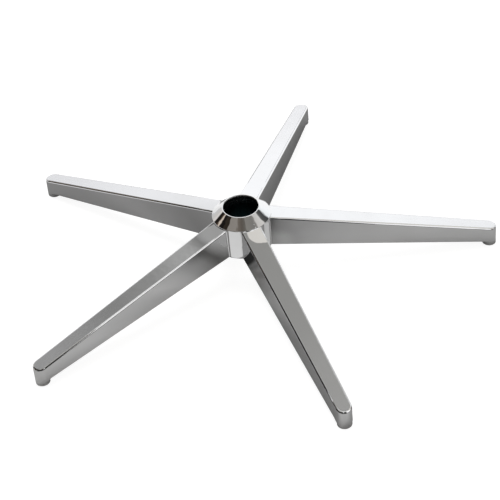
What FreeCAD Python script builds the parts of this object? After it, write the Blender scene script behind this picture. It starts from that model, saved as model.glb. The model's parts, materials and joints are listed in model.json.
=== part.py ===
"""Office chair five star base: one bright die casting with a tapered column bore and five caster legs.

Units are millimetres. The origin is the centre of the hub's top rim, on the axis of the column bore.
+Z points up out of the bore, and the first leg runs along +X.
"""
import FreeCAD, Part

import math
import os

V = FreeCAD.Vector
UP = V(0, 0, 1)

# Hub and column bore
BORE_RADIUS = 25.05          # lead-in land for a 50 mm column
BORE_LAND_LENGTH = 10.0
BORE_TAPER_DEG = 1.438       # half angle of the self-locking column taper
BORE_MOUTH_CHAMFER = 0.4
BORE_FOOT_CHAMFER = 1.0
RIM_WIDTH = 1.6              # flat ring round the mouth of the bore
RIM_EDGE_ROUND = 0.7
TUBE_WALL = 6.0              # metal round the column bore
HUB_CAVITY = 6.0             # open ring under the hub, between tube and skirt
HOLLOW_ROOT_GAP = 0.6        # a leg's hollow starts in that ring, this far from the tube
SKIRT_WALL = 4.45            # outer wall of the hub
COLLAR_HEIGHT = 13.4         # sloping collar between the rim and the skirt
COLLAR_EDGE_ROUND = 0.6
COLLAR_ROOF = 7.0            # metal left under the collar, measured along Z
HUB_RIB_THICKNESS = 3.5
HUB_RIB_RECESS = 8.0         # the hub's ribs end this far above its lower edge

# Legs
LEG_COUNT = 5
CASTER_CIRCLE_RADIUS = 351.5
NOSE_SETBACK = 1.5           # the round nose is centred this far inside the caster circle
COLLAR_STEP = 1.1            # the legs start this far below the collar's lower edge
LEG_FALL = 59.1              # fall of a leg's top between the skirt and the middle of its nose
LEG_ROOT_DEPTH = 47.3        # top to lower edge at the skirt
LEG_TIP_DEPTH = 23.3         # top to lower edge at the middle of the nose
LEG_ROOT_HALF_WIDTH = 15.9   # at the lower edge, beside the skirt
NOSE_RADIUS = 11.1           # round end of a leg, at the lower edge
LEG_DRAFT_DEG = 0.7          # sides and nose lean inwards towards the top
LEG_EDGE_ROUND = 2.6
LEG_ROOT_ROUND = 1.2         # hollow fillet where a leg's side meets the skirt
LEG_WALL = 3.6
LEG_ROOF = 3.8
LEG_RIB_COUNT = 4
LEG_RIB_THICKNESS = 2.8
LEG_RIB_RECESS = 6.5         # a leg's ribs end this far above its lower edge

# Feet
FOOT_DROP = 8.6              # the caster boss stands this far below the leg's lower edge
FOOT_CHAMFER = 0.8
FOOT_FLARE = 4.0             # sloping flare between boss and leg
BOSS_RADIUS = 10.0           # round the socket; the nose trims its outer side
SOCKET_RADIUS = 5.6          # for an 11 mm caster stem
SOCKET_DEPTH = 26.0
SOCKET_WALL = 6.5            # metal round the socket, inside the hollow of the leg
SOCKET_CHAMFER = 0.6

# Levels and radii that follow from the sizes above
TUBE_RADIUS = BORE_RADIUS + TUBE_WALL
SKIRT_INNER = TUBE_RADIUS + HUB_CAVITY
HUB_RADIUS = SKIRT_INNER + SKIRT_WALL
RIM_RADIUS = BORE_RADIUS + RIM_WIDTH
NOSE_CENTRE = CASTER_CIRCLE_RADIUS - NOSE_SETBACK
REACH = NOSE_CENTRE - HUB_RADIUS
LEG_TOP_AT_HUB = -COLLAR_HEIGHT - COLLAR_STEP
LEG_TOP_AT_TIP = LEG_TOP_AT_HUB - LEG_FALL
HUB_BOTTOM = LEG_TOP_AT_HUB - LEG_ROOT_DEPTH
LEG_BOTTOM_AT_TIP = LEG_TOP_AT_TIP - LEG_TIP_DEPTH
FLOOR = LEG_BOTTOM_AT_TIP - FOOT_DROP
HOLLOW_START = TUBE_RADIUS + HOLLOW_ROOT_GAP
SOCKET_TUBE_RADIUS = SOCKET_RADIUS + SOCKET_WALL
HOLLOW_END = CASTER_CIRCLE_RADIUS - SOCKET_TUBE_RADIUS
LEG_TAPER = (math.acos(NOSE_RADIUS / math.hypot(LEG_ROOT_HALF_WIDTH, REACH))
             - math.atan2(REACH, LEG_ROOT_HALF_WIDTH))
CLEAR = NOSE_RADIUS          # how far a trimming body reaches past what it trims
MATCH = 1e-4                 # points closer than this are the same point


def leg_top(x):
    """Height of a leg's top face at this distance from the hub axis."""
    return LEG_TOP_AT_HUB - LEG_FALL * (x - HUB_RADIUS) / REACH


def leg_bottom(x):
    """Height of a leg's lower edge at this distance from the hub axis."""
    return HUB_BOTTOM - (HUB_BOTTOM - LEG_BOTTOM_AT_TIP) * (x - HUB_RADIUS) / REACH


def collar(radius):
    """Height of the hub's sloping collar at this radius."""
    return -COLLAR_HEIGHT * (radius - RIM_RADIUS) / (HUB_RADIUS - RIM_RADIUS)


def outline(corners):
    """Closed face in the XZ plane from (x, z, corner radius) triples."""
    points = [V(x, 0, z) for x, z, _ in corners]
    edges, ends = [], []
    for i, (corner, (_, _, radius)) in enumerate(zip(points, corners)):
        along_in = (corner - points[i - 1]).normalize()
        along_out = (points[(i + 1) % len(points)] - corner).normalize()
        half_turn = along_in.getAngle(along_out) / 2
        trim = radius * math.tan(half_turn)
        start, end = corner - along_in * trim, corner + along_out * trim
        if radius:
            inward = (along_out - along_in).normalize()
            middle = corner + inward * (radius / math.cos(half_turn) - radius)
            edges.append(Part.Arc(start, middle, end).toShape())
        ends.append((start, end))
    for i, (start, _) in enumerate(ends):
        if start.distanceToPoint(ends[i - 1][1]) > MATCH:
            edges.append(Part.LineSegment(ends[i - 1][1], start).toShape())
    return Part.Face(Part.Wire(Part.__sortEdges__(edges)))


def turned(corners, x=0.0):
    """Solid of revolution about the upright line through (x, 0, 0)."""
    solid = outline(corners).revolve(V(0, 0, 0), UP, 360)
    solid.translate(V(x, 0, 0))
    return solid


def side_view(points):
    """A side view's outline, made wide enough to take in a whole leg."""
    half_width = LEG_ROOT_HALF_WIDTH + CLEAR
    slab = outline([(x, z, 0) for x, z in points]).extrude(V(0, 2 * half_width, 0))
    slab.translate(V(0, -half_width, 0))
    return slab


def nose_radius(z):
    """Radius of a leg's round nose at this height, with the draft of its sides."""
    return NOSE_RADIUS - math.tan(math.radians(LEG_DRAFT_DEG)) * (z - LEG_BOTTOM_AT_TIP)


def half_width(x, nose):
    """Half the width of a leg at x, where its sides are tangent to a nose of this radius."""
    return (nose + (NOSE_CENTRE - x) * math.sin(LEG_TAPER)) / math.cos(LEG_TAPER)


def strip_sides(z, nose, start, end):
    """The two sides of a leg's plan at height z, between x = start and x = end, as (right, left) lines."""
    root, tip = half_width(start, nose), half_width(end, nose)
    return (Part.LineSegment(V(start, -root, z), V(end, -tip, z)).toShape(),
            Part.LineSegment(V(end, tip, z), V(start, root, z)).toShape())


def plan_outline(z):
    """Plan of a leg at height z, from inside the hub: tapering sides and a round nose round the caster socket."""
    nose = nose_radius(z)
    right, left = strip_sides(z, nose, TUBE_RADIUS, NOSE_CENTRE + nose * math.sin(LEG_TAPER))
    tip = V(NOSE_CENTRE + nose, 0, z)
    arc = Part.Arc(right.Vertexes[1].Point, tip, left.Vertexes[0].Point).toShape()
    root = Part.LineSegment(left.Vertexes[1].Point, right.Vertexes[0].Point).toShape()
    return Part.Wire([right, arc, left, root])


def hollow_outline(z):
    """Plan at height z of the hollow under a leg, one wall inside the leg's sides."""
    right, left = strip_sides(z, nose_radius(z) - LEG_WALL, HOLLOW_START, NOSE_CENTRE)
    end = Part.LineSegment(right.Vertexes[1].Point, left.Vertexes[0].Point).toShape()
    root = Part.LineSegment(left.Vertexes[1].Point, right.Vertexes[0].Point).toShape()
    return Part.Wire([right, end, left, root])


def drafted(plan):
    """Solid with this plan at every height from below the floor to above the rim, its flat sides true planes."""
    sides = Part.makeLoft([plan(FLOOR - CLEAR), plan(CLEAR)], True, True).Faces
    return Part.Solid(Part.Shell([Part.Face(f.OuterWire) if f.findPlane() else f for f in sides]))


def caster_boss():
    """Round boss about the caster socket, flaring into the leg above it."""
    flare_radius = BOSS_RADIUS + FOOT_FLARE
    shoulder = leg_bottom(CASTER_CIRCLE_RADIUS - flare_radius)
    top = LEG_TOP_AT_TIP - LEG_ROOF
    return turned([
        (0, FLOOR, 0),
        (BOSS_RADIUS - FOOT_CHAMFER, FLOOR, 0),
        (BOSS_RADIUS, FLOOR + FOOT_CHAMFER, 0),
        (BOSS_RADIUS, shoulder - FOOT_FLARE, 0),
        (flare_radius, shoulder, 0),
        (flare_radius, top, 0),
        (0, top, 0),
    ], CASTER_CIRCLE_RADIUS)


def on_leg_top(edge):
    """Does this edge run along the leg's sloping top, outside the hub?"""
    first, last = edge.ParameterRange
    points = [edge.valueAt(p) for p in (first, (first + last) / 2, last)]
    return edge.BoundBox.XMax > HUB_RADIUS and all(abs(p.z - leg_top(p.x)) < MATCH for p in points)


def leg_outside():
    """One solid leg along +X: its side view and its foot trimmed by its plan, with the top edge rounded."""
    end = NOSE_CENTRE + NOSE_RADIUS + CLEAR
    bar = side_view([(0, leg_bottom(0)), (end, leg_bottom(end)), (end, leg_top(end)), (0, leg_top(0))])
    leg = bar.fuse(caster_boss()).common(drafted(plan_outline)).removeSplitter()
    return leg.makeFillet(LEG_EDGE_ROUND, [e for e in leg.Edges if on_leg_top(e)])


def leg_hollow():
    """The hollow under one leg, open below, crossed by ribs and ended by the tube round the caster socket."""
    low = FLOOR - CLEAR
    end = NOSE_CENTRE + CLEAR
    hollow = side_view([(0, low), (end, low), (end, leg_top(end) - LEG_ROOF), (0, leg_top(0) - LEG_ROOF)])
    hollow = hollow.common(drafted(hollow_outline))
    pitch = (HOLLOW_END - HUB_RADIUS) / (LEG_RIB_COUNT + 1)
    for i in range(1, LEG_RIB_COUNT + 1):
        near = HUB_RADIUS + i * pitch - LEG_RIB_THICKNESS / 2
        far = near + LEG_RIB_THICKNESS
        lower = leg_bottom(near) + LEG_RIB_RECESS
        hollow = hollow.cut(side_view([(near, lower), (far, lower), (far, 0), (near, 0)]))
    return hollow.cut(Part.makeCylinder(SOCKET_TUBE_RADIUS, -low, V(CASTER_CIRCLE_RADIUS, 0, low)))


def hub_outside():
    """The hub's skirt, sloping collar and rim as one turned solid."""
    return turned([
        (0, HUB_BOTTOM, 0),
        (HUB_RADIUS, HUB_BOTTOM, 0),
        (HUB_RADIUS, -COLLAR_HEIGHT, COLLAR_EDGE_ROUND),
        (RIM_RADIUS, 0, RIM_EDGE_ROUND),
        (0, 0, 0),
    ])


def hub_hollow():
    """The ring under the hub between tube and skirt, with a rib between each two legs."""
    low = HUB_BOTTOM - CLEAR
    ring = turned([
        (TUBE_RADIUS, low, 0),
        (SKIRT_INNER, low, 0),
        (SKIRT_INNER, collar(SKIRT_INNER) - COLLAR_ROOF, 0),
        (TUBE_RADIUS, collar(TUBE_RADIUS) - COLLAR_ROOF, 0),
    ])
    lower = HUB_BOTTOM + HUB_RIB_RECESS
    rib = Part.makeBox(HUB_RADIUS, HUB_RIB_THICKNESS, -lower, V(0, -HUB_RIB_THICKNESS / 2, lower))
    return ring.cut(round_the_hub(rib, half_step=True))


def column_bore():
    """Mouth chamfer, straight lead-in land, locking taper and foot chamfer of the column bore."""
    land_end = -BORE_MOUTH_CHAMFER - BORE_LAND_LENGTH
    fall = math.tan(math.radians(BORE_TAPER_DEG))
    taper_end = HUB_BOTTOM + BORE_FOOT_CHAMFER
    taper_radius = BORE_RADIUS - fall * (land_end - taper_end)
    return turned([
        (0, HUB_BOTTOM, 0),
        (taper_radius + BORE_FOOT_CHAMFER, HUB_BOTTOM, 0),
        (taper_radius, taper_end, 0),
        (BORE_RADIUS, land_end, 0),
        (BORE_RADIUS, -BORE_MOUTH_CHAMFER, 0),
        (BORE_RADIUS + BORE_MOUTH_CHAMFER, 0, 0),
        (0, 0, 0),
    ])


def caster_socket():
    """Blind socket for a caster stem, with a chamfered mouth at the floor."""
    return turned([
        (0, FLOOR, 0),
        (SOCKET_RADIUS + SOCKET_CHAMFER, FLOOR, 0),
        (SOCKET_RADIUS, FLOOR + SOCKET_CHAMFER, 0),
        (SOCKET_RADIUS, FLOOR + SOCKET_DEPTH, 0),
        (0, FLOOR + SOCKET_DEPTH, 0),
    ], CASTER_CIRCLE_RADIUS)


def round_the_hub(shape, half_step=False):
    """Copies of a shape at every leg, or midway between the legs."""
    step = 360.0 / LEG_COUNT
    start = step / 2 if half_step else 0.0
    return [shape.rotated(V(0, 0, 0), UP, start + i * step) for i in range(LEG_COUNT)]


def at_leg_root(edge):
    """Does this edge run up the corner between a leg's side and the skirt?"""
    ends = [v.Point for v in edge.Vertexes]
    return (edge.BoundBox.ZLength > LEG_ROOT_DEPTH / 2
            and all(abs(math.hypot(p.x, p.y) - HUB_RADIUS) < MATCH for p in ends))


def star_base():
    """The whole casting."""
    body = hub_outside().fuse(round_the_hub(leg_outside())).removeSplitter()
    body = body.makeFillet(LEG_ROOT_ROUND, [e for e in body.Edges if at_leg_root(e)])
    body = body.cut([hub_hollow()] + round_the_hub(leg_hollow()))
    return body.cut([column_bore()] + round_the_hub(caster_socket())).removeSplitter()


os.makedirs("parts", exist_ok=True)
casting = star_base()
casting.exportStep("parts/star_base.step")
print("solids", len(casting.Solids), "valid", casting.isValid(), "volume cm3", round(casting.Volume / 1000, 1))
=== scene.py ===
"""Studio scene for a mirror-polished five star chair base: finish, camera, floor, room and cards.

Units are metres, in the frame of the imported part: the origin is the centre of the hub's top rim,
+Z is up and the first leg runs along +X. Azimuths are in degrees, 0 straight away from the camera
along +Y and 90 to the right along +X. Elevations are in degrees above the level.
"""
from __future__ import annotations

import json
import logging
import math
from dataclasses import dataclass, field
from enum import Enum

import bpy
from mathutils import Matrix, Vector

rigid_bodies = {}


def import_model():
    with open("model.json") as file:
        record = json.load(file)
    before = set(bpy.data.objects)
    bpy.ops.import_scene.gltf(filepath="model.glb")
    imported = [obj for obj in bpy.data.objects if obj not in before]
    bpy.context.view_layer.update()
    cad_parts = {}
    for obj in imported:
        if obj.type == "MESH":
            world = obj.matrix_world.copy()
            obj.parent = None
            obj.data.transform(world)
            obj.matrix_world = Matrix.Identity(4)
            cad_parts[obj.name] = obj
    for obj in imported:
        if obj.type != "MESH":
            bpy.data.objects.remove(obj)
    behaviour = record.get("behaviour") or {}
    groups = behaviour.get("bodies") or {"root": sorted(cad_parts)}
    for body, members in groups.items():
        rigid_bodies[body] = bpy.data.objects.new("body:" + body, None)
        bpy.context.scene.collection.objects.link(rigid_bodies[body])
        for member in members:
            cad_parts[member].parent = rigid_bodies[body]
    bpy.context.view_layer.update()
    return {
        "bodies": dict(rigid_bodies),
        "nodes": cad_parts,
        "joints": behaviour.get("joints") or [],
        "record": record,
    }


log = logging.getLogger("star_base")

Colour = tuple[float, float, float]
Ring = tuple[tuple[float, Colour], ...]
Span = tuple[float, float]
Socket = bpy.types.NodeSocket
Number = float | Socket

NODE = "star_base"

WHITE: Colour = (1.0, 1.0, 1.0)
BLACK: Colour = (0.012, 0.012, 0.012)
WARM_BLACK: Colour = (0.012, 0.010, 0.009)


def grey(value: float) -> Colour:
    """A neutral colour."""
    return (value, value, value)


def greys(*stops: Span) -> Ring:
    """Neutral colours at azimuths."""
    return tuple((azimuth, grey(value)) for azimuth, value in stops)


def toward(azimuth: float, elevation: float) -> Vector:
    """The unit vector that points to an azimuth and an elevation."""
    az, el = math.radians(azimuth), math.radians(elevation)
    return Vector((math.sin(az) * math.cos(el), math.cos(az) * math.cos(el), math.sin(el)))


class Op(Enum):
    """Math node operations that the finishes use."""

    ADD = "ADD"
    SUBTRACT = "SUBTRACT"
    MULTIPLY = "MULTIPLY"
    MULTIPLY_ADD = "MULTIPLY_ADD"
    DIVIDE = "DIVIDE"
    MINIMUM = "MINIMUM"
    MAXIMUM = "MAXIMUM"
    ABSOLUTE = "ABSOLUTE"
    ROUND = "ROUND"
    SQRT = "SQRT"
    SINE = "SINE"
    COSINE = "COSINE"
    ARCTAN2 = "ARCTAN2"


@dataclass(frozen=True)
class Octaves:
    """How many finer octaves a noise has, and how strong they are."""

    detail: float
    roughness: float


class Wiring:
    """Adds nodes to one node tree and joins them."""

    # A Mix node has a set of sockets for each type of data; these are the places of two sets.
    mixed_values = (2, 3)
    mixed_value = 0
    mixed_colours = (6, 7)
    mixed_colour = 2

    def __init__(self, tree: bpy.types.NodeTree) -> None:
        """Keeps the tree that the nodes go into."""
        self.tree = tree

    def node(self, kind: str, **settings: object) -> bpy.types.Node:
        """Adds a node.

        Args:
            kind: Blender's name of the node type.
            settings: Properties to set on the node.

        Returns:
            The new node.
        """
        made = self.tree.nodes.new(kind)
        for name, value in settings.items():
            setattr(made, name, value)
        return made

    def feed(self, socket: Socket, value: object) -> None:
        """Links a socket to another one, or sets its plain value.

        Args:
            socket: The input socket.
            value: An output socket, a number or a colour.
        """
        if isinstance(value, Socket):
            self.tree.links.new(value, socket)
        elif isinstance(value, tuple):
            socket.default_value = (*value, 1.0)
        else:
            socket.default_value = value

    def math(self, operation: Op, *values: Number) -> Socket:
        """Adds a Math node.

        Args:
            operation: What the node works out.
            values: Its inputs in order.

        Returns:
            The node's output.
        """
        made = self.node("ShaderNodeMath", operation=operation.value)
        for socket, value in zip(made.inputs, values):
            self.feed(socket, value)
        return made.outputs[0]

    def product(self, first: Socket, *others: Number) -> Socket:
        """Multiplies values, which for masks is 1 where all of them are 1.

        Args:
            first: A value or mask.
            others: More values or masks.

        Returns:
            Their product.
        """
        found = first
        for other in others:
            found = self.math(Op.MULTIPLY, found, other)
        return found

    def length(self, x: Socket, y: Socket) -> Socket:
        """The length of the level vector (x, y)."""
        return self.math(Op.SQRT, self.math(Op.MULTIPLY_ADD, x, x, self.math(Op.MULTIPLY, y, y)))

    def split(self, vector: Socket) -> tuple[Socket, ...]:
        """Splits a vector.

        Args:
            vector: The vector's socket.

        Returns:
            Its x, y and z.
        """
        made = self.node("ShaderNodeSeparateXYZ")
        self.feed(made.inputs[0], vector)
        return tuple(made.outputs)

    def step(self, value: Number, low: Number, high: Number) -> Socket:
        """Adds a smooth step from 0 at low to 1 at high.

        Args:
            value: What is compared.
            low: Where the step starts.
            high: Where the step ends.

        Returns:
            The step's value.
        """
        made = self.node("ShaderNodeMapRange", interpolation_type="SMOOTHSTEP")
        for name, given in (("Value", value), ("From Min", low), ("From Max", high)):
            self.feed(made.inputs[name], given)
        return made.outputs["Result"]

    def scale(self, value: Number, low: float, high: float) -> Socket:
        """Maps a value from 0 to 1 onto low to high.

        Args:
            value: A mask or noise value.
            low: The result at 0.
            high: The result at 1.

        Returns:
            The mapped value.
        """
        made = self.node("ShaderNodeMapRange")
        for name, given in (("Value", value), ("To Min", low), ("To Max", high)):
            self.feed(made.inputs[name], given)
        return made.outputs["Result"]

    def blend(self, mask: Number, first: Colour | Socket, second: Colour | Socket) -> Socket:
        """Blends two colours.

        Args:
            mask: 0 gives the first colour, 1 the second.
            first: A colour or an output socket.
            second: A colour or an output socket.

        Returns:
            The blended colour.
        """
        made = self.node("ShaderNodeMix", data_type="RGBA")
        self.feed(made.inputs["Factor"], mask)
        for place, colour in zip(self.mixed_colours, (first, second)):
            self.feed(made.inputs[place], colour)
        return made.outputs[self.mixed_colour]

    def choose(self, mask: Number, first: Number, second: Number) -> Socket:
        """Blends two values.

        Args:
            mask: 0 gives the first value, 1 the second.
            first: A number or an output socket.
            second: A number or an output socket.

        Returns:
            The blended value.
        """
        made = self.node("ShaderNodeMix", data_type="FLOAT")
        self.feed(made.inputs["Factor"], mask)
        for place, value in zip(self.mixed_values, (first, second)):
            self.feed(made.inputs[place], value)
        return made.outputs[self.mixed_value]

    def ring(self, x: Socket, y: Socket, stops: Ring) -> Socket:
        """Adds a colour that changes round the upright axis.

        Args:
            x: Offset to the right.
            y: Offset away from the camera.
            stops: Azimuths from -180 to 180 with the colour at each.

        Returns:
            The colour in the direction of (x, y).
        """
        turn = self.math(Op.MULTIPLY_ADD, self.math(Op.ARCTAN2, x, y), 1 / math.tau, 0.5)
        made = self.node("ShaderNodeValToRGB")
        points = made.color_ramp.elements
        for _ in stops[2:]:
            points.new(0.5)
        for point, (azimuth, colour) in zip(points, stops):
            point.position = (azimuth + 180.0) / 360.0
            point.color = (*colour, 1.0)
        self.feed(made.inputs[0], turn)
        return made.outputs[0]

    def noise(self, place: Socket, scale: Number, octaves: Octaves) -> Socket:
        """Adds a noise texture.

        Args:
            place: The coordinates it reads.
            scale: Features per metre.
            octaves: Its finer octaves.

        Returns:
            The noise value.
        """
        made = self.node("ShaderNodeTexNoise")
        self.feed(made.inputs["Vector"], place)
        self.feed(made.inputs["Scale"], scale)
        self.feed(made.inputs["Detail"], octaves.detail)
        self.feed(made.inputs["Roughness"], octaves.roughness)
        return made.outputs["Fac"]


def new_material(name: str) -> tuple[bpy.types.Material, Wiring]:
    """Makes a material with no nodes yet.

    Args:
        name: Its name.

    Returns:
        The material and the wiring of its node tree.
    """
    made = bpy.data.materials.new(name)
    made.use_nodes = True
    made.node_tree.nodes.clear()
    return made, Wiring(made.node_tree)


def flat_sheet(name: str, width: float, height: float) -> bpy.types.Object:
    """Makes a flat rectangle round the origin.

    Args:
        name: Name of the object and of its mesh.
        width: Its size along X.
        height: Its size along Y.

    Returns:
        The new object.
    """
    x, y = width / 2, height / 2
    mesh = bpy.data.meshes.new(name)
    mesh.from_pydata([(-x, -y, 0), (x, -y, 0), (x, y, 0), (-x, y, 0)], [], [(0, 1, 2, 3)])
    sheet = bpy.data.objects.new(name, mesh)
    bpy.context.collection.objects.link(sheet)
    return sheet


@dataclass(frozen=True)
class GroupShape:
    """The name and the sockets of a shader node group."""

    name: str
    inputs: tuple[tuple[str, float], ...]
    outputs: tuple[str, ...]

    def start(self) -> tuple[Wiring, bpy.types.Node, bpy.types.Node]:
        """Makes the empty group.

        Returns:
            Its wiring, its input node and its output node.
        """
        tree = bpy.data.node_groups.new(self.name, "ShaderNodeTree")
        for name, value in self.inputs:
            socket = tree.interface.new_socket(name, in_out="INPUT", socket_type="NodeSocketFloat")
            socket.default_value = value
        for name in self.outputs:
            tree.interface.new_socket(name, in_out="OUTPUT", socket_type="NodeSocketFloat")
        wiring = Wiring(tree)
        return wiring, wiring.node("NodeGroupInput"), wiring.node("NodeGroupOutput")

    def place(self, wiring: Wiring, **values: Number) -> bpy.types.Node:
        """Places the group in another tree.

        Args:
            wiring: The tree that takes the group.
            values: The group's inputs by name.

        Returns:
            The group node.
        """
        made = wiring.node("ShaderNodeGroup")
        made.node_tree = bpy.data.node_groups[self.name]
        for name, value in values.items():
            wiring.feed(made.inputs[name], value)
        return made


@dataclass(frozen=True)
class CastingSizes:
    """Sizes of the casting that its finish follows."""

    legs: int = 5
    bore_radius: float = 0.02505
    bore_lip: float = 0.0032
    tube_radius: float = 0.03105
    hub_radius: float = 0.0415
    skirt_wall: float = 0.00445
    collar_height: float = 0.0134
    leg_top_at_hub: float = -0.0145
    leg_bottom_at_hub: float = -0.0618
    leg_top_at_tip: float = -0.0736
    leg_bottom_at_tip: float = -0.0969
    caster_circle: float = 0.3515
    nose_centre: float = 0.350
    leg_half_width_at_hub: float = 0.0159
    leg_half_width_at_tip: float = 0.0111
    leg_wall: float = 0.0036
    leg_roof: float = 0.0038
    socket_radius: float = 0.0056
    floor: float = -0.1055
    root_rise_end: float = 0.069
    root_rise_bend: float = 0.014
    root_rise_slope: float = 0.175

    @property
    def reach(self) -> float:
        """Length of a leg from the skirt to the middle of its nose."""
        return self.nose_centre - self.hub_radius

    def slope(self, at_hub: float, at_tip: float) -> float:
        """Change per metre along a leg of a size that is known at both ends."""
        return (at_tip - at_hub) / self.reach


class LegPlace:
    """Node group that folds the legs onto one another and gives the place on a leg."""

    shape = GroupShape("leg_place", (("Sector", math.tau / CastingSizes.legs),),
                       ("Along", "Across", "Height", "Radius", "Facing up"))

    def build(self) -> None:
        """Makes the group."""
        w, given, result = self.shape.start()
        geometry = w.node("ShaderNodeNewGeometry")
        x, y, height = w.split(geometry.outputs["Position"])
        facing_up = w.split(geometry.outputs["True Normal"])[2]
        sector = given.outputs["Sector"]
        radius = w.length(x, y)
        angle = w.math(Op.ARCTAN2, y, x)
        nearest = w.math(Op.MULTIPLY, w.math(Op.ROUND, w.math(Op.DIVIDE, angle, sector)), sector)
        local = w.math(Op.SUBTRACT, angle, nearest)
        w.feed(result.inputs["Along"], w.math(Op.MULTIPLY, radius, w.math(Op.COSINE, local)))
        w.feed(result.inputs["Across"], w.math(Op.MULTIPLY, radius, w.math(Op.SINE, local)))
        w.feed(result.inputs["Height"], height)
        w.feed(result.inputs["Radius"], radius)
        w.feed(result.inputs["Facing up"], facing_up)


@dataclass(frozen=True)
class CastZones:
    """Node group that masks the column bore, its lip and what no polishing wheel reaches.

    The lip is the top of the bore, and its rise slopes it towards the rim. Facing down is how
    squarely a surface has to face the floor to count as out of the wheel's reach.
    """

    sizes: CastingSizes
    bore_margin: float = 0.0003
    rim_margin: float = 0.0002
    socket_margin: float = 0.0008
    facing_down: Span = (0.35, 0.60)

    shape = GroupShape("cast_zones", (("Edge", 0.0005),), ("Bore", "Lip", "Lip rise", "Hidden"))

    def tapered(self, w: Wiring, along: Socket, at_hub: float, at_tip: float) -> Socket:
        """A size that changes evenly along a leg.

        Args:
            w: The group's wiring.
            along: The place along the leg.
            at_hub: The size at the skirt.
            at_tip: The size at the middle of the nose.

        Returns:
            The size at the shaded point.
        """
        slope = self.sizes.slope(at_hub, at_tip)
        return w.math(Op.MULTIPLY_ADD, along, slope, at_hub - slope * self.sizes.hub_radius)

    def build(self) -> None:
        """Makes the group."""
        s = self.sizes
        w, given, result = self.shape.start()
        place = LegPlace.shape.place(w, Sector=math.tau / s.legs)
        along, height, radius = (place.outputs[name] for name in ("Along", "Height", "Radius"))
        across = w.math(Op.ABSOLUTE, place.outputs["Across"])

        def under(value: Number, limit: Number) -> Socket:
            """1 where value is below limit, with a soft edge."""
            return w.step(w.math(Op.SUBTRACT, limit, value), 0.0, given.outputs["Edge"])

        tube_middle = (s.bore_radius + s.tube_radius) / 2
        skirt_middle = s.hub_radius - s.skirt_wall / 2
        half_wall, half_roof = s.leg_wall / 2, s.leg_roof / 2
        wall = self.tapered(w, along, s.leg_half_width_at_hub - half_wall,
                            s.leg_half_width_at_tip - half_wall)
        roof = self.tapered(w, along, s.leg_top_at_hub - half_roof, s.leg_top_at_tip - half_roof)
        bottom = self.tapered(w, along, s.leg_bottom_at_hub, s.leg_bottom_at_tip)
        in_bore = w.product(under(radius, s.bore_radius + self.bore_margin),
                            under(height, -self.rim_margin))
        in_leg = w.product(under(across, wall), under(height, roof), under(bottom, height),
                           under(skirt_middle, radius), under(along, s.caster_circle))
        in_hub = w.product(under(tube_middle, radius), under(radius, skirt_middle),
                           under(height, -s.collar_height))
        from_socket = w.length(w.math(Op.SUBTRACT, along, s.caster_circle), across)
        in_socket = w.product(under(from_socket, s.socket_radius + self.socket_margin),
                              under(height, s.leg_top_at_tip - half_roof))
        below = w.step(w.math(Op.MULTIPLY, place.outputs["Facing up"], -1.0), *self.facing_down)
        hidden = w.math(Op.MAXIMUM, w.math(Op.MAXIMUM, in_leg, in_hub),
                        w.math(Op.MAXIMUM, in_socket, below))
        lip = w.step(height, -s.bore_lip, -s.bore_lip / 2)
        depth = w.math(Op.MULTIPLY, height, -1.0)
        w.feed(result.inputs["Bore"], in_bore)
        w.feed(result.inputs["Lip"], lip)
        w.feed(result.inputs["Lip rise"], w.product(lip, in_bore, depth))
        w.feed(result.inputs["Hidden"], w.product(hidden, w.math(Op.SUBTRACT, 1.0, in_bore)))


@dataclass(frozen=True)
class HandPolish:
    """Node group with what hand polishing leaves on the outside of the casting.

    There are slow waves everywhere, ripples that are strong on the collar and weak outside it, fine
    haze, finger marks and a dull veil on the tops of the legs towards their tips. The rise is the
    slight upward sweep of each leg's top before the collar.
    """

    sizes: CastingSizes
    waving: Octaves = Octaves(1.0, 0.4)
    hazing: Octaves = Octaves(4.0, 0.55)
    marking: Octaves = Octaves(2.0, 0.5)
    ripples_per_wave: float = 4.0
    marks_per_haze: float = 7.0
    ripple_on_legs: float = 0.15
    haze_span: Span = (0.40, 0.72)
    mark_span: Span = (0.60, 0.78)
    facing_up: Span = (0.90, 0.97)
    veil_span: Span = (0.16, 0.34)
    collar_edge: float = 0.0004

    shape = GroupShape("hand_polish", (("Waves", 26.0), ("Haze", 9.0)),
                       ("Wave", "Ripple", "Haze", "Marks", "Veil", "Rise"))

    def build(self) -> None:
        """Makes the group."""
        s = self.sizes
        w, given, result = self.shape.start()
        waves, haze = given.outputs["Waves"], given.outputs["Haze"]
        place = w.node("ShaderNodeNewGeometry").outputs["Position"]
        leg = LegPlace.shape.place(w, Sector=math.tau / s.legs)
        radius = leg.outputs["Radius"]
        upward = w.step(leg.outputs["Facing up"], *self.facing_up)
        outside = w.step(radius, s.hub_radius - self.collar_edge, s.hub_radius)
        ripple = w.noise(place, w.math(Op.MULTIPLY, waves, self.ripples_per_wave), self.waving)
        marks = w.noise(place, w.math(Op.MULTIPLY, haze, self.marks_per_haze), self.marking)
        inward = w.math(Op.SUBTRACT, s.root_rise_end, radius)
        bend = w.math(Op.MULTIPLY_ADD, inward, inward, s.root_rise_bend ** 2)
        eased = w.math(Op.ADD, inward, w.math(Op.SQRT, bend))
        rise = w.math(Op.MULTIPLY, eased, s.root_rise_slope / 2)
        w.feed(result.inputs["Wave"], w.noise(place, waves, self.waving))
        w.feed(result.inputs["Ripple"],
               w.math(Op.MULTIPLY, ripple, w.scale(outside, 1.0, self.ripple_on_legs)))
        w.feed(result.inputs["Haze"],
               w.step(w.noise(place, haze, self.hazing), *self.haze_span))
        w.feed(result.inputs["Marks"], w.step(marks, *self.mark_span))
        w.feed(result.inputs["Veil"],
               w.math(Op.MULTIPLY, upward, w.step(leg.outputs["Along"], *self.veil_span)))
        w.feed(result.inputs["Rise"], w.product(rise, outside, upward))


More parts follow.
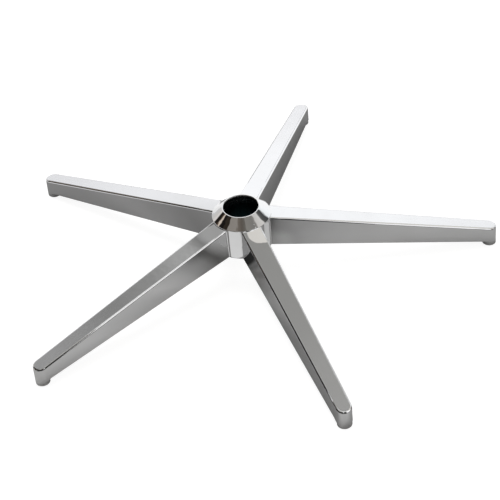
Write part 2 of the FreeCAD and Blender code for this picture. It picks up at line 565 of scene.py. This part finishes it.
@dataclass(frozen=True)
class CastSkin:
    """Node group with the grain and the wide stains of an untouched casting."""

    octaves: Octaves = Octaves(3.0, 0.6)
    stains_per_grain: float = 0.05

    shape = GroupShape("cast_skin", (("Grain", 900.0),), ("Grain", "Stain"))

    def build(self) -> None:
        """Makes the group."""
        w, given, result = self.shape.start()
        grain = given.outputs["Grain"]
        place = w.node("ShaderNodeNewGeometry").outputs["Position"]
        stains = w.math(Op.MULTIPLY, grain, self.stains_per_grain)
        w.feed(result.inputs["Grain"], w.noise(place, grain, self.octaves))
        w.feed(result.inputs["Stain"], w.noise(place, stains, self.octaves))


@dataclass(frozen=True)
class PolishedCasting:
    """Finish of the casting: mirror polish outside, dark bore, bare cast skin in the hollows."""

    polish: Colour = (0.915, 0.918, 0.925)
    haze: Colour = (0.850, 0.850, 0.852)
    bore: Colour = (0.010, 0.030, 0.034)
    bore_lip: Colour = (0.14, 0.145, 0.15)
    skin: Colour = (0.420, 0.420, 0.425)
    skin_stain: Colour = (0.300, 0.298, 0.295)
    veil: Colour = (0.945, 0.945, 0.952)
    polish_roughness: float = 0.030
    mark_roughness: float = 0.085
    bore_roughness: float = 0.32
    skin_roughness: float = 0.52
    veil_roughness: float = 0.50
    veil_ior: float = 2.47
    wave_height: float = 0.000080
    ripple_height: float = 0.000260
    grain_height: float = 0.000060

    def material(self) -> bpy.types.Material:
        """Makes the material.

        Returns:
            The material for the casting's slot.
        """
        made, w = new_material("polished_casting")
        zones = CastZones.shape.place(w)
        polish = HandPolish.shape.place(w)
        skin = CastSkin.shape.place(w)
        bore, hidden = zones.outputs["Bore"], zones.outputs["Hidden"]

        bright = w.blend(polish.outputs["Haze"], self.polish, self.haze)
        bare = w.blend(skin.outputs["Stain"], self.skin, self.skin_stain)
        in_bore = w.blend(zones.outputs["Lip"], self.bore, self.bore_lip)
        colour = w.blend(bore, w.blend(hidden, bright, bare), in_bore)

        gloss = w.scale(polish.outputs["Marks"], self.polish_roughness, self.mark_roughness)
        rough = w.choose(bore, w.choose(hidden, gloss, self.skin_roughness), self.bore_roughness)

        rises = w.math(Op.ADD, polish.outputs["Rise"], zones.outputs["Lip rise"])
        ripples = w.math(Op.MULTIPLY_ADD, polish.outputs["Ripple"], self.ripple_height, rises)
        waves = w.math(Op.MULTIPLY_ADD, polish.outputs["Wave"], self.wave_height, ripples)
        grain = w.math(Op.MULTIPLY, skin.outputs["Grain"], self.grain_height)
        bump = w.node("ShaderNodeBump")
        bump.inputs["Distance"].default_value = 1.0
        w.feed(bump.inputs["Height"], w.choose(hidden, waves, grain))

        shader = w.node("ShaderNodeBsdfPrincipled")
        for name, value in (
                ("Base Color", colour), ("Metallic", 1.0), ("Roughness", rough),
                ("Normal", bump.outputs[0]), ("Coat Weight", polish.outputs["Veil"]),
                ("Coat Tint", self.veil), ("Coat Roughness", self.veil_roughness),
                ("Coat IOR", self.veil_ior)):
            w.feed(shader.inputs[name], value)
        w.feed(w.node("ShaderNodeOutputMaterial").inputs["Surface"], shader.outputs[0])
        return made


@dataclass
class Casting:
    """The one casting of the base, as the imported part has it."""

    sizes: CastingSizes
    finish: PolishedCasting

    def build(self, frame: dict) -> bpy.types.Object:
        """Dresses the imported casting.


        Returns:
            The casting's object.
        """
        for group in (LegPlace(), CastZones(self.sizes), HandPolish(self.sizes), CastSkin()):
            group.build()
        piece = frame["nodes"][NODE]
        piece.material_slots[0].material = self.finish.material()
        return piece


@dataclass(frozen=True)
class Card:
    """A flat glowing card beside the stage that only the polish sees; its back is clear.

    It stands at an azimuth, an elevation and a distance from the point of the hub's axis at its
    level, and faces that point. Roll turns it in its own plane and yaw about its upright, in
    degrees. Echo is the share of its glow that is left after more than one reflection.
    """

    name: str
    azimuth: float
    elevation: float
    distance: float
    width: float
    height: float
    colour: Colour
    level: float = 0.0
    roll: float = 0.0
    yaw: float = 0.0
    echo: float = 1.0

    second_bounce = (1.2, 1.8)

    def build(self) -> bpy.types.Object:
        """Makes the card.

        Returns:
            The card's object.
        """
        card = flat_sheet(self.name, self.width, self.height)
        outward = toward(self.azimuth, self.elevation)
        card.matrix_world = (
            Matrix.Translation(outward * self.distance + Vector((0.0, 0.0, self.level)))
            @ outward.to_track_quat("-Z", "Y").to_matrix().to_4x4()
            @ Matrix.Rotation(math.radians(self.roll), 4, "Z")
            @ Matrix.Rotation(math.radians(self.yaw), 4, "Y"))
        card.data.materials.append(self.material())
        card.visible_camera = False
        card.visible_diffuse = False
        card.visible_shadow = False
        return card

    def material(self) -> bpy.types.Material:
        """Makes the card's material.

        Returns:
            A glow on the front and nothing on the back.
        """
        made, w = new_material(self.name)
        glow = w.node("ShaderNodeEmission")
        w.feed(glow.inputs["Color"], self.colour)
        bounces = w.node("ShaderNodeLightPath").outputs["Ray Depth"]
        repeated = w.step(bounces, *self.second_bounce)
        w.feed(glow.inputs["Strength"], w.scale(repeated, 1.0, self.echo))
        sides = w.node("ShaderNodeMixShader")
        w.feed(sides.inputs[0], w.node("ShaderNodeNewGeometry").outputs["Backfacing"])
        w.feed(sides.inputs[1], glow.outputs[0])
        w.feed(sides.inputs[2], w.node("ShaderNodeBsdfTransparent").outputs[0])
        w.feed(w.node("ShaderNodeOutputMaterial").inputs["Surface"], sides.outputs[0])
        return made


@dataclass(frozen=True)
class PaintedLightAndShadowSpot:
    """A soft round grey spot of painted light and shade on the floor that the metal mirrors."""

    x: float
    y: float
    inner: float
    outer: float
    value: float


@dataclass(frozen=True)
class Floor:
    """Pale floor, white to the camera less the base's own shadow, and grey in the metal.

    Where the metal looks down at the floor it mirrors painted light and shade in the floor's
    colour: a ring of greys round the axis, with painted spots of the hub's shadow and of light
    over it, and plain nearer the camera than the front edge. Where it looks along the floor it
    mirrors a painted glow that stands in for the lit floor further off.
    """

    level: float
    size: float = 12.0
    gap: float = 0.0002
    seen: Colour = grey(0.25)
    lift: Colour = grey(0.90)
    # Painted light and shade: greys by azimuth for the lit and shadowed floor the metal mirrors.
    near_painted_light_and_shade: Ring = greys(
        (-180.0, 0.35), (-174.0, 0.38), (-167.0, 0.45), (-156.0, 0.53), (-148.0, 0.47),
        (-141.0, 0.475), (-136.0, 0.53), (-125.0, 0.45), (-105.0, 0.33), (-95.0, 0.26),
        (-85.0, 0.222), (-75.0, 0.262), (-68.0, 0.29), (-63.0, 0.25), (-50.0, 0.24),
        (-10.0, 0.28), (25.0, 0.215), (70.0, 0.24), (90.0, 0.38), (104.0, 0.44),
        (122.0, 0.40), (140.0, 0.31), (148.0, 0.31), (156.0, 0.33), (164.0, 0.28),
        (172.0, 0.245), (180.0, 0.35))
    # Painted light: a glow by azimuth, bright behind, dark in front, for the lit floor beyond.
    far_painted_glow: Ring = greys(
        (-180.0, 0.03), (-130.0, 0.03), (-115.0, 0.55), (-60.0, 0.75), (-30.0, 0.85),
        (-18.0, 1.0), (50.0, 1.0), (80.0, 0.45), (110.0, 0.10), (180.0, 0.03))
    far_matt: Colour = grey(0.02)
    grazing: Span = (0.58, 0.70)
    painted_light_and_shadow: tuple[PaintedLightAndShadowSpot, ...] = (
        # Painted shadow of the hub: a grey spot round an almost black one, left of the axis.
        PaintedLightAndShadowSpot(-0.035, 0.000, 0.024, 0.036, 0.28),
        PaintedLightAndShadowSpot(-0.035, 0.012, 0.025, 0.033, 0.04),
        # Painted light: lighter spots in front of the hub, where the base shades the floor.
        PaintedLightAndShadowSpot(0.006, -0.076, 0.016, 0.038, 0.40),
        PaintedLightAndShadowSpot(0.048, -0.076, 0.008, 0.036, 0.47))
    front_edge: Span = (-0.362, -0.335)
    front: Colour = grey(0.50)

    def build(self) -> bpy.types.Object:
        """Makes the floor.

        Returns:
            The floor's object.
        """
        floor = flat_sheet("studio_floor", self.size, self.size)
        floor.location.z = self.level - self.gap
        floor.data.materials.append(self.material())
        return floor

    def material(self) -> bpy.types.Material:
        """Makes the floor's material.

        Returns:
            A matt floor, white to the camera and grey beside the base in the metal, where the grey
            is painted light and shade and further off a painted glow.
        """
        made, w = new_material("studio_floor")
        x, y, _ = w.split(w.node("ShaderNodeNewGeometry").outputs["Position"])
        away = w.step(w.node("ShaderNodeLayerWeight").outputs["Facing"], *self.grazing)
        path = w.node("ShaderNodeLightPath")
        seen = w.math(Op.MAXIMUM, path.outputs["Is Camera Ray"],
                      path.outputs["Is Transmission Ray"])

        # Painted light and shade that the metal mirrors: the ring of greys and the spots over it.
        beside = w.blend(w.step(y, *self.front_edge), self.front, w.ring(x, y, self.near_painted_light_and_shade))
        for painted_spot in self.painted_light_and_shadow:
            off = w.length(w.math(Op.SUBTRACT, x, painted_spot.x), w.math(Op.SUBTRACT, y, painted_spot.y))
            beside = w.blend(w.step(off, painted_spot.inner, painted_spot.outer), grey(painted_spot.value), beside)
        matt = w.node("ShaderNodeBsdfDiffuse")
        w.feed(matt.inputs["Color"], w.blend(seen, w.blend(away, beside, self.far_matt), self.seen))

        # Painted light: a glow the metal sees where it grazes the floor, over an almost black matt.
        painted_glow = w.blend(away, grey(0.0), w.ring(x, y, self.far_painted_glow))
        in_metal = w.blend(path.outputs["Is Glossy Ray"], grey(0.0), painted_glow)
        glow = w.node("ShaderNodeEmission")
        w.feed(glow.inputs["Color"], w.blend(seen, in_metal, self.lift))

        total = w.node("ShaderNodeAddShader")
        w.feed(total.inputs[0], matt.outputs[0])
        w.feed(total.inputs[1], glow.outputs[0])
        w.feed(w.node("ShaderNodeOutputMaterial").inputs["Surface"], total.outputs[0])
        return made


@dataclass(frozen=True)
class Room:
    """The studio round the stage: a white sweep behind, dark and lit walls and a grey ceiling.

    Wall top and ceiling start are heights on the unit sphere between which the walls fade into the
    ceiling; the front rise lifts both towards the camera's side.
    """

    walls: Ring = (
        (-180.0, (0.113, 0.099, 0.085)), (-156.0, (0.155, 0.134, 0.115)),
        (-149.0, (0.270, 0.249, 0.225)), (-111.0, (0.262, 0.241, 0.217)),
        (-108.5, (0.026, 0.020, 0.015)), (-88.0, (0.032, 0.026, 0.020)),
        (-81.0, (0.110, 0.097, 0.085)), (-79.0, (0.620, 0.530, 0.450)),
        (-74.5, (0.620, 0.530, 0.450)), (-72.5, (0.065, 0.046, 0.034)),
        (-60.0, (0.020, 0.013, 0.008)), (-57.0, (0.740, 0.705, 0.680)),
        (-48.0, (0.600, 0.580, 0.560)), (-36.0, (0.600, 0.600, 0.600)),
        (-18.0, (0.850, 0.855, 0.870)), (0.0, (1.020, 1.025, 1.040)),
        (48.0, (1.010, 1.030, 1.040)), (61.0, (0.900, 0.930, 0.940)),
        (65.0, (0.060, 0.062, 0.062)), (78.0, (0.085, 0.085, 0.082)),
        (84.0, (0.160, 0.160, 0.155)), (86.5, (0.660, 0.650, 0.630)),
        (108.5, (0.590, 0.570, 0.545)), (112.5, (0.275, 0.263, 0.247)),
        (122.0, (0.212, 0.205, 0.192)), (160.0, (0.238, 0.230, 0.212)),
        (165.0, (0.140, 0.132, 0.118)), (180.0, (0.113, 0.099, 0.085)))
    ceiling: Ring = (
        (-180.0, (0.297, 0.295, 0.284)), (-36.0, (0.360, 0.360, 0.355)),
        (-31.5, (0.302, 0.302, 0.300)), (-28.0, (0.222, 0.222, 0.218)),
        (-25.5, (0.270, 0.270, 0.265)), (-23.0, (0.410, 0.410, 0.405)),
        (-19.0, (0.450, 0.450, 0.445)), (-6.0, (0.310, 0.308, 0.298)),
        (10.0, (0.297, 0.295, 0.284)), (180.0, (0.297, 0.295, 0.284)))
    wall_top: float = 0.62
    ceiling_start: float = 0.74
    front_rise: float = 0.5

    def build(self) -> bpy.types.World:
        """Makes the world.

        Returns:
            The scene's world.
        """
        world = bpy.data.worlds.new("studio_room")
        bpy.context.scene.world = world
        world.use_nodes = True
        world.node_tree.nodes.clear()
        w = Wiring(world.node_tree)
        right, away, up = w.split(w.node("ShaderNodeTexCoord").outputs["Generated"])
        front = w.math(Op.MINIMUM, away, 0.0)
        height = w.math(Op.MULTIPLY_ADD, front, self.front_rise, up)
        room = w.blend(w.step(height, self.wall_top, self.ceiling_start),
                       w.ring(right, away, self.walls), w.ring(right, away, self.ceiling))
        seen = w.node("ShaderNodeLightPath").outputs["Is Camera Ray"]
        background = w.node("ShaderNodeBackground")
        w.feed(background.inputs["Color"], w.blend(seen, room, WHITE))
        w.feed(w.node("ShaderNodeOutputWorld").inputs["Surface"], background.outputs[0])
        return world


@dataclass(frozen=True)
class Lamp:
    """A soft round lamp aimed at the hub that the polish does not mirror."""

    name: str
    azimuth: float
    elevation: float
    distance: float
    size: float
    power: float

    def build(self) -> bpy.types.Object:
        """Makes the lamp.

        Returns:
            The lamp's object.
        """
        outward = toward(self.azimuth, self.elevation)
        data = bpy.data.lights.new(self.name, "AREA")
        data.shape = "DISK"
        data.size = self.size
        data.energy = self.power
        lamp = bpy.data.objects.new(self.name, data)
        bpy.context.collection.objects.link(lamp)
        lamp.location = outward * self.distance
        lamp.rotation_euler = outward.to_track_quat("Z", "Y").to_euler()
        lamp.visible_glossy = False
        return lamp


@dataclass(frozen=True)
class Camera:
    """The photograph's camera, fitted to the edges of the legs and the mouth of the bore.

    The turn, in degrees, swings the whole camera about the hub's axis.
    """

    position: tuple[float, float, float] = (0.0, -1.7380833, 1.3667479)
    right: tuple[float, float, float] = (0.995546, -0.062859, -0.070265)
    above: tuple[float, float, float] = (0.094219, 0.637087, 0.765012)
    turn: float = 0.3868
    focal_pixels: float = 1580.23
    frame_pixels: float = 500.0
    sensor: float = 36.0
    sight: float = 60.0

    def build(self) -> bpy.types.Object:
        """Makes the camera and puts it in charge of the scene.

        Returns:
            The camera's object.
        """
        right = Vector(self.right).normalized()
        back = right.cross(Vector(self.above)).normalized()
        above = back.cross(right)
        axes = Matrix((right, above, back)).transposed().to_4x4()
        data = bpy.data.cameras.new("photo_camera")
        data.sensor_width = self.sensor
        data.lens = self.focal_pixels * self.sensor / self.frame_pixels
        data.clip_end = self.sight
        camera = bpy.data.objects.new("photo_camera", data)
        bpy.context.collection.objects.link(camera)
        camera.matrix_world = (Matrix.Rotation(math.radians(self.turn), 4, "Z")
                               @ Matrix.Translation(self.position) @ axes)
        bpy.context.scene.camera = camera
        return camera


@dataclass
class Studio:
    """Floor, room, cards, lamps and camera."""

    sizes: CastingSizes
    cards: tuple[Card, ...] = (
        Card("overhead_softbox", 75.0, 62.0, 12.0, 8.4, 8.7, (0.72, 0.70, 0.66), roll=34.5),
        Card("left_flag", -77.0, 47.5, 4.0, 2.05, 1.76, WARM_BLACK),
        Card("middle_flag", -50.0, 41.0, 4.0, 1.0, 0.7, WARM_BLACK),
        Card("left_low_flag", -74.7, 11.0, 4.0, 1.76, 2.0, WARM_BLACK),
        Card("left_gap_flag", -96.0, 0.0, 0.604, 0.27, 0.17, WARM_BLACK, level=0.345),
        Card("tip_screen", 146.6, 66.3, 0.437, 0.06, 0.06, (0.30, 0.30, 0.29)),
        Card("top_softbox", 143.0, 76.0, 1.03, 0.42, 0.60, WHITE),
        Card("front_softbox", 137.5, 0.0, 0.78, 0.45, 0.95, WHITE, level=0.375),
        Card("front_strip", 173.0, 0.0, 0.90, 0.10, 0.60, WHITE, level=0.40),
        Card("front_flag", 160.0, 0.0, 1.0, 0.95, 0.96, BLACK, level=0.38),
        Card("nose_flag", -150.0, 0.0, 1.2, 1.3, 0.96, BLACK, level=0.38),
        Card("collar_reflector", -168.0, 16.0, 0.30, 0.07, 0.10, WHITE),
        Card("back_strip", 14.5, 16.5, 4.0, 0.42, 0.55, (0.35, 0.36, 0.38)),
        Card("nose_back_flag", 14.0, 0.0, 0.618, 0.10, 0.06, (0.35, 0.35, 0.36), level=-0.063),
        Card("back_left_flag", -8.0, 2.0, 12.0, 2.1, 2.1, (0.25, 0.25, 0.26)),
        Card("back_right_flag", 12.0, 2.0, 12.0, 1.2, 2.1, (0.40, 0.40, 0.41)),
        Card("right_back_flag", 40.5, 30.0, 12.0, 2.7, 3.6, (0.33, 0.33, 0.31)),
        Card("left_reflector", -160.0, 0.0, 0.0510, 0.025, 0.048, (0.66, 0.66, 0.655),
             level=-0.0455, yaw=-8.0, echo=0.4),
        Card("right_reflector", 117.6, 0.0, 0.0474, 0.012, 0.048, (0.50, 0.50, 0.495),
             level=-0.0455, yaw=45.0, echo=0.4),
    )
    lamps: tuple[Lamp, ...] = (
        Lamp("overhead", -25.0, 68.0, 2.2, 1.8, 30.0),
        Lamp("fill", 150.0, 45.0, 2.4, 1.6, 10.0),
    )
    made: list[bpy.types.Object] = field(default_factory=list)

    def build(self) -> None:
        """Makes everything that stands round the base."""
        bpy.context.scene.view_settings.view_transform = "Standard"
        Room().build()
        self.made.append(Camera().build())
        self.made.append(Floor(self.sizes.floor).build())
        self.made.extend(card.build() for card in self.cards)
        self.made.extend(lamp.build() for lamp in self.lamps)


def clear_scene() -> None:
    """Takes out whatever Blender starts with."""
    for thing in list(bpy.data.objects):
        bpy.data.objects.remove(thing)


def main() -> None:
    """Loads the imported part, dresses it and sets up the studio."""
    logging.basicConfig(level=logging.INFO, format="%(name)s: %(message)s")
    clear_scene()
    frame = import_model()
    sizes = CastingSizes()
    piece = Casting(sizes, PolishedCasting()).build(frame)
    log.info("dressed %s with %s", piece.name, piece.material_slots[0].material.name)
    studio = Studio(sizes)
    studio.build()
    for thing in studio.made:
        log.info("placed %s", thing.name)


if __name__ == "__main__":
    main()
